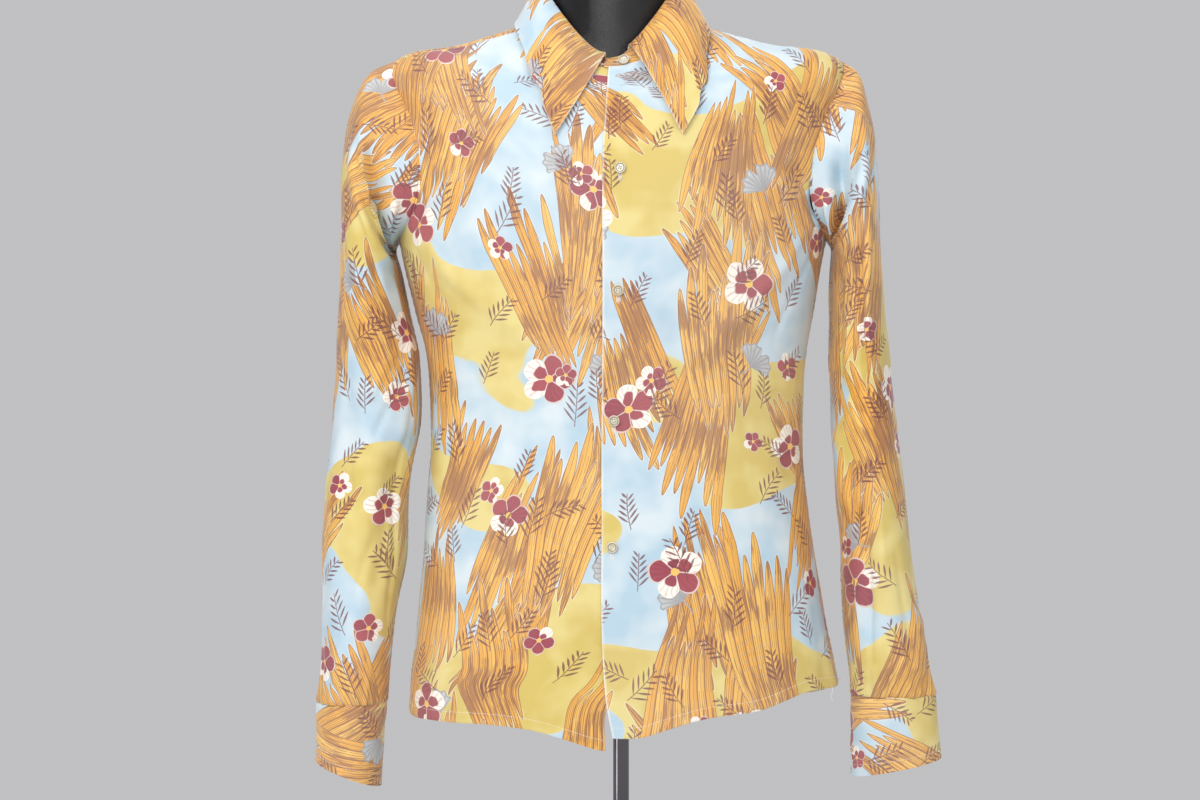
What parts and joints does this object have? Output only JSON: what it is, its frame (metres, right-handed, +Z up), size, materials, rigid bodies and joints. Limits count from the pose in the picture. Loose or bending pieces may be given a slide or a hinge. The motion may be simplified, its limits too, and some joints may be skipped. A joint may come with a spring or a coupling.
{
  "type": "long-sleeved shirt on dress form stand",
  "caption": "Long-sleeved printed shirt with a large pointed collar, buttoned front and cuffs, worn on a limbless gloss-black dress form with a chrome pole and round foot.",
  "frame": {"origin": "middle of the foot's underside, under the pole", "axes": "+Z up along the pole, the front faces -Y, the wearer's left is +X"},
  "size_m": [0.5899, 0.3, 1.59],
  "materials": {
    "cloth": "satin",
    "button": "pearl",
    "form": "gloss",
    "pole": "polished",
    "base": "polished"
  },
  "bodies": {
    "root": {"front_left": "cloth", "front_right": "cloth", "back": "cloth", "yoke": "cloth", "sleeve_left": "cloth", "sleeve_right": "cloth", "cuff_left": "cloth", "cuff_right": "cloth", "collar_stand": "cloth", "collar_leaf": "cloth", "button_1": "button", "button_2": "button", "button_3": "button", "button_4": "button", "button_5": "button", "button_cuff_left": "button", "button_cuff_right": "button", "dress_form": "form", "pole": "pole", "base": "base"}
  },
  "joints": []
}
